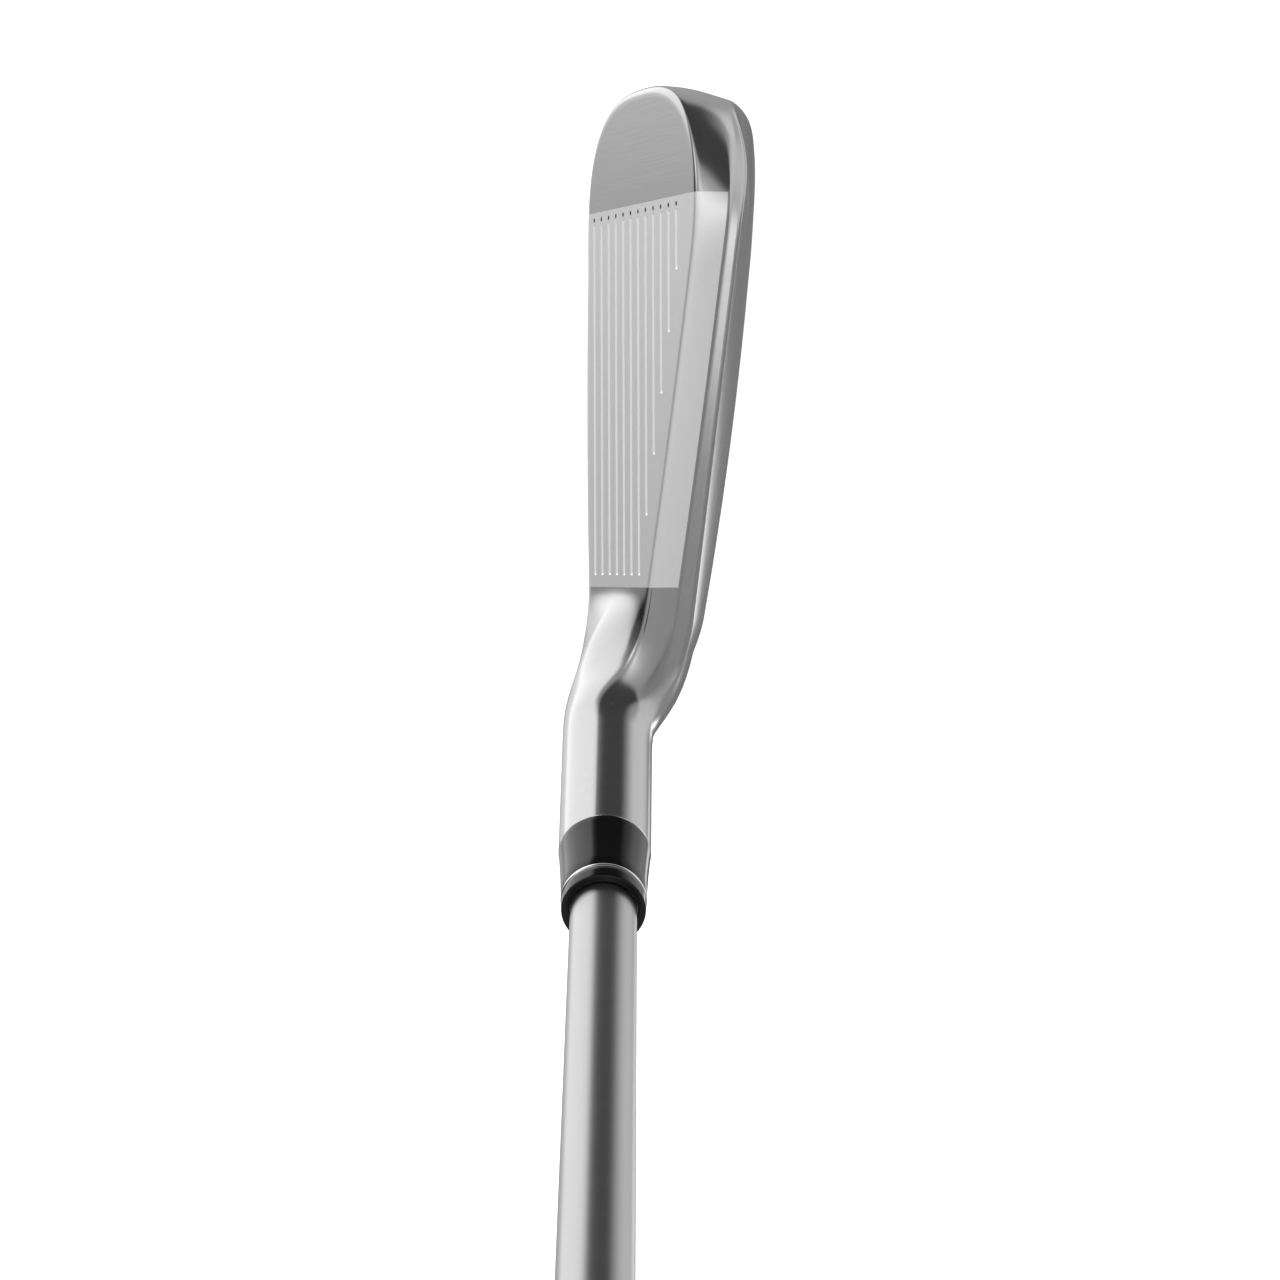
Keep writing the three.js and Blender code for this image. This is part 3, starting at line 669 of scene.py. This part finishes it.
def grain(nt, shader, scale, stretch, turn, colour, depth, distance, base, rough, spread, detail=4.0):
    """Fine directional grain: colour and roughness vary a little, and a bump catches the light."""
    place = nt.nodes.new("ShaderNodeTexCoord")
    mapping = nt.nodes.new("ShaderNodeMapping")
    mapping.inputs["Rotation"].default_value = turn
    mapping.inputs["Scale"].default_value = stretch
    noise = nt.nodes.new("ShaderNodeTexNoise")
    noise.inputs["Scale"].default_value = scale
    noise.inputs["Detail"].default_value = detail
    noise.inputs["Roughness"].default_value = 0.6
    nt.links.new(place.outputs["Object"], mapping.inputs["Vector"])
    nt.links.new(mapping.outputs["Vector"], noise.inputs["Vector"])
    ramp = nt.nodes.new("ShaderNodeMix")
    ramp.data_type = "RGBA"
    ramp.inputs["A"].default_value = (*[c * (1 - colour) for c in base], 1)
    ramp.inputs["B"].default_value = (*[min(c * (1 + colour), 1) for c in base], 1)
    nt.links.new(noise.outputs["Fac"], ramp.inputs["Factor"])
    nt.links.new(ramp.outputs["Result"], shader.inputs["Base Color"])
    rough_map = nt.nodes.new("ShaderNodeMapRange")
    rough_map.inputs["To Min"].default_value = rough - spread
    rough_map.inputs["To Max"].default_value = rough + spread
    nt.links.new(noise.outputs["Fac"], rough_map.inputs["Value"])
    nt.links.new(rough_map.outputs["Result"], shader.inputs["Roughness"])
    bump = nt.nodes.new("ShaderNodeBump")
    bump.inputs["Strength"].default_value = depth
    bump.inputs["Distance"].default_value = distance
    nt.links.new(noise.outputs["Fac"], bump.inputs["Height"])
    nt.links.new(bump.outputs["Normal"], shader.inputs["Normal"])
    return noise, bump


def steel(
    name, base, rough, scale, stretch, turn=(0, 0, 0), colour=0.06, depth=0.08, distance=2e-5, spread=0.03
):
    m, nt, shader = nodes_of(name, (base,) * 3, rough, 1)
    grain(nt, shader, scale, stretch, turn, colour, depth, distance, (base,) * 3, rough, spread)
    return m


ALONG_AXIS = (math.pi / 2 - LIE, 0, 0)
polished = steel("mirror_steel", 0.42, 0.15, 900, (1, 0.05, 1), colour=0.05, depth=0.05)
frosted = steel(
    "blasted_steel", 0.94, 0.5, 5200, (1, 1, 1), colour=0.09, depth=0.3, distance=4e-5, spread=0.05
)
brushed = steel("lined_steel", 0.46, 0.26, 1500, (0.04, 1.6, 0.04), colour=0.1, depth=0.12, distance=3e-5)
chrome = steel("satin_chrome", 0.42, 0.3, 700, (0.08, 1, 0.05), ALONG_AXIS, colour=0.05, depth=0.05)
# Near-black steel for the sunk run-out dots: painted shade in the recesses, not a mark or finish of the
# steel.
painted_dot_shade = steel("painted_dot_shade", 0.09, 0.6, 3000, (1, 1, 1), colour=0.2, depth=0.2)
silver = steel("bright_ring", 0.75, 0.12, 900, (1, 0.05, 1), ALONG_AXIS, colour=0.03, depth=0.04)
screw_metal = steel("dark_screw", 0.45, 0.3, 1400, (1, 1, 1), colour=0.08, depth=0.1)
tungsten = steel("sintered_tungsten", 0.35, 0.5, 2200, (1, 1, 1), colour=0.12, depth=0.2)


def soft(name, base, rough, scale, depth, distance, colour=0.15, spread=0.05):
    m, nt, shader = nodes_of(name, base, rough, 0)
    grain(nt, shader, scale, (1, 1, 1), (0, 0, 0), colour, depth, distance, base, rough, spread)
    return m, nt, shader


black, _, black_shader = soft("gloss_black", (0.002, 0.002, 0.0022), 0.09, 600, 0.03, 1e-5, spread=0.02)
black_shader.inputs["Specular IOR Level"].default_value = 0.28
foam, _, _ = soft("cell_foam", (0.72, 0.66, 0.5), 0.9, 900, 0.5, 2e-4)
paper, _, _ = soft("crepe_paper", (0.8, 0.77, 0.68), 0.85, 1400, 0.3, 5e-5)
plug, _, _ = soft("moulded_plug", (0.05, 0.05, 0.052), 0.5, 800, 0.1, 2e-5)
rubber_cap, _, _ = soft("smooth_rubber", (0.018, 0.018, 0.019), 0.62, 1600, 0.25, 4e-5)
rubber, rubber_nt, _ = soft("patterned_rubber", (0.02, 0.02, 0.021), 0.68, 2200, 0.25, 4e-5)


def moulded_rows(nt):
    """Rows of small raised pads, laid like bricks round the grip and along it by its UV."""
    place = nt.nodes.new("ShaderNodeTexCoord")
    pads = nt.nodes.new("ShaderNodeTexBrick")
    pads.inputs["Scale"].default_value = 1
    pads.inputs["Brick Width"].default_value = 1 / 24
    pads.inputs["Row Height"].default_value = 0.03
    pads.inputs["Mortar Size"].default_value = 0.005
    pads.inputs["Mortar Smooth"].default_value = 0.4
    nt.links.new(place.outputs["UV"], pads.inputs["Vector"])
    relief = nt.nodes.new("ShaderNodeBump")
    relief.invert = True
    relief.inputs["Strength"].default_value = 0.7
    relief.inputs["Distance"].default_value = 3e-4
    nt.links.new(pads.outputs["Fac"], relief.inputs["Height"])
    nt.links.new(relief.outputs["Normal"], nt.nodes["Bump"].inputs["Normal"])


moulded_rows(rubber_nt)

# ------------------------------------------------------------------ the pieces
body = make("head_body_fine", head_mesh(), [polished, frosted], "head_steel", "head_body")
plate = make("face_plate_fine", plate_mesh(), [frosted, brushed, painted_dot_shade], "face_steel", "face_plate")
body.visible_glossy = False
plate.visible_glossy = False

BORE = 4.98
barrel = [(BORE, 60.5), (6.36, 60.5), (6.46, 60.6), (6.47, 60.8), (6.42, 61.6), (6.33, 63), (6.22, 65)]
barrel += [(6.12, 67.2), (6.03, 70), (5.97, 71.8), (5.93, 71.98), (BORE, 71.98)]
ring = [(BORE, 72.02), (5.92, 72.02), (5.99, 72.1), (6.0, 72.3)]
ring += [(5.99, 72.56), (5.92, 72.64), (BORE, 72.64)]
nose = [(BORE, 72.68), (5.89, 72.68), (5.94, 72.78), (5.92, 73.4), (5.9, 74.2)]
nose += rounded(5.88, 75, 0.22, 1) + [(5.2, 74.96), (4.82, 74.9), (4.74, 74.6), (4.8, 73.9), (BORE, 73.7)]
for name, profile, material, slot in (
    ("barrel", barrel, black, "ferrule_black"),
    ("ring", ring, silver, "ring_silver"),
    ("nose", nose, black, "ferrule_black"),
):
    mesh = turned(f"ferrule_{name}_fine", profile)
    make(f"ferrule_{name}_fine", mesh, [material], slot, f"ferrule_{name}")


def shaft_r(a):
    return mix(TIP_R, BUTT_R, min(max((a - TAPER_FROM) / (TAPER_TO - TAPER_FROM), 0), 1))


shaft_at = np.concatenate([[SHAFT_FROM, TAPER_FROM], np.linspace(75, TAPER_TO, 24), [SHAFT_TO]])
shaft = [(shaft_r(a), a) for a in shaft_at]
shaft += [(shaft_r(a) - SHAFT_WALL, a) for a in shaft_at[::-1]]
make("shaft_fine", turned("shaft_fine", shaft), [chrome], "shaft_chrome", "shaft")

sleeve = [(8.2, 736.6), (8.5, 736.1), (8.85, 736.2), (9.0, 736.8)]
for a in GRIP_RINGS:
    r = 9.0 + (a - 736.8) * 0.0124
    sleeve += [(r, a - 0.5), (r - 0.3, a - 0.25), (r - 0.3, a + 0.25), (r, a + 0.5)]
for r, a in ((9.35, 765), (10.1, 800), (10.9, 845), (11.7, 900), (12.5, 955), (13, 985), (13, 996.6)):
    sleeve.append((r, a))
sleeve.append((8.2, 996.6))
make("grip_sleeve_fine", turned("grip_sleeve_fine", sleeve), [rubber], "grip_rubber", "grip_sleeve")
cap = [(1.6, 998.8), (7.62, 998.8), (7.62, 997), (12.6, 997), (12.9, 997.4), (13.2, 998.1), (13.4, 998.6)]
cap += [(13.4, 1000.6)] + rounded(13.4, 1003, 1.8, 1, 8)
cap += [(9.3, 1003), (9.0, 1002.6), (8.7, 1003), (2.2, 1003), (1.6, 1002.5)]
make("grip_cap_fine", turned("grip_cap_fine", cap), [rubber_cap], "cap_rubber", "grip_cap")

for name, material in (
    ("toe_weight", tungsten),
    ("foam_core", foam),
    ("tip_plug", plug),
    ("grip_tape", paper),
):
    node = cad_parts[name]
    node.data.materials.clear()
    node.data.materials.append(material)
    node.visible_glossy = False
make("port_screw_fine", screw_mesh(), [screw_metal], "screw_steel", "port_screw")

# ------------------------------------------------------------------ floor, light, camera
GROUND = to_row([0, 0, 0])[2] - 0.0006
scene = bpy.context.scene
scene.view_settings.view_transform = "Standard"


def plain(name, value, strength):
    m = bpy.data.materials.new(name)
    m.use_nodes = True
    shader = m.node_tree.nodes["Principled BSDF"]
    shader.inputs["Base Color"].default_value = (value,) * 3 + (1,)
    shader.inputs["Roughness"].default_value = 0.9
    shader.inputs["Specular IOR Level"].default_value = 0
    shader.inputs["Emission Color"].default_value = (1, 1, 1, 1)
    shader.inputs["Emission Strength"].default_value = strength
    return m


bpy.ops.mesh.primitive_plane_add(size=12, location=(0, 0.45, GROUND))
floor = bpy.context.object
floor.name = "floor"
floor.data.materials.append(plain("floor_white", 0.85, 0.55))
floor.visible_glossy = False

# The surroundings that the metals reflect: an even room with light and dark (negative tone) shapes.
# SCREENS are soft-edged discs: direction, reach and edge in degrees, tone. LOBES: direction, tone, tightness.
ROOM = 0.57
SCREENS = [
    ((-0.59, 0.53, -0.61), 27, 4, 1.15),
    ((0.32, 0.90, 0.05), 44, 6, -0.47),
    ((0.75, 0.35, -0.55), 28, 8, 0.50),
    ((0.38, -0.03, -0.92), 5, 2.5, 1.6),
]
LOBES = [
    ((0.20, 0.12, 0.97), 0.92, 12),
    ((-0.78, 0.36, 0.50), 1.4, 24),
    ((0.20, 0.0, -1.0), -0.38, 20),
    ((0.78, -0.30, -0.55), -0.15, 8),
    ((-0.36, 0.13, -0.92), 0.5, 60),
    ((-0.75, 0.0, -0.66), -0.45, 40),
    ((-0.97, 0.0, -0.15), -0.50, 8),
    ((0.90, -0.25, 0.25), -0.20, 12),
]


def room_light():
    world = bpy.data.worlds.new("room")
    scene.world = world
    world.use_nodes = True
    nt = world.node_tree
    back = nt.nodes["Background"]
    back.inputs["Color"].default_value = (1, 1, 1, 1)
    place = nt.nodes.new("ShaderNodeTexCoord")
    room = nt.nodes.new("ShaderNodeMath")
    room.inputs[0].default_value = ROOM
    room.inputs[1].default_value = 0
    total = room.outputs[0]

    def facing(direction):
        dot = nt.nodes.new("ShaderNodeVectorMath")
        dot.operation = "DOT_PRODUCT"
        dot.inputs[1].default_value = Vector(direction).normalized()
        nt.links.new(place.outputs["Generated"], dot.inputs[0])
        return dot.outputs["Value"]

    def math_node(operation, source, second, third=0.0):
        node = nt.nodes.new("ShaderNodeMath")
        node.operation = operation
        nt.links.new(source, node.inputs[0])
        node.inputs[1].default_value = second
        node.inputs[2].default_value = third
        return node

    def add(source, tone):
        node = math_node("MULTIPLY_ADD", source, tone)
        nt.links.new(total, node.inputs[2])
        return node.outputs[0]

    for direction, reach, edge, tone in SCREENS:
        disc = nt.nodes.new("ShaderNodeMapRange")
        disc.interpolation_type = "SMOOTHSTEP"
        disc.inputs["From Min"].default_value = math.cos(math.radians(reach + edge))
        disc.inputs["From Max"].default_value = math.cos(math.radians(reach - edge))
        nt.links.new(facing(direction), disc.inputs["Value"])
        total = add(disc.outputs["Result"], tone)
    for direction, tone, tight in LOBES:
        fall = math_node("MULTIPLY_ADD", facing(direction), tight, -tight)
        bell = math_node("EXPONENT", fall.outputs[0], 0.0)
        total = add(bell.outputs[0], tone)
    darkest = math_node("MAXIMUM", total, 0.02)
    nt.links.new(darkest.outputs[0], back.inputs["Strength"])


room_light()


def soft_box(name, at, aim, size, power):
    light = bpy.data.lights.new(name, "AREA")
    light.shape = "DISK"
    light.size = size
    light.energy = power
    obj = bpy.data.objects.new(name, light)
    scene.collection.objects.link(obj)
    obj.location = at
    obj.rotation_euler = (Vector(aim) - Vector(at)).to_track_quat("-Z", "Y").to_euler()
    obj.visible_glossy = False
    return obj


head_at = Vector(to_row([12, 40, 20]))
soft_box("key", head_at + Vector((-0.9, -0.5, 1.5)), head_at, 1.2, 14)
soft_box("fill", head_at + Vector((1.1, 0.6, 1.3)), head_at, 1.2, 9)

camera_data = bpy.data.cameras.new("camera")
camera = bpy.data.objects.new("camera", camera_data)
scene.collection.objects.link(camera)
scene.camera = camera
camera_data.lens = 143.77
camera_data.sensor_width = 36
camera_data.clip_start = 0.01
right = Vector((0.999954, -0.002941, -0.009121))
up = Vector((0.002796, 0.999870, -0.015910))
back = right.cross(up)
eye = Vector(to_row([15.70, 11.374, 769.22]))
rows = [(right[i], up[i], back[i], eye[i]) for i in range(3)]
camera.matrix_world = Matrix((*rows, (0, 0, 0, 1)))
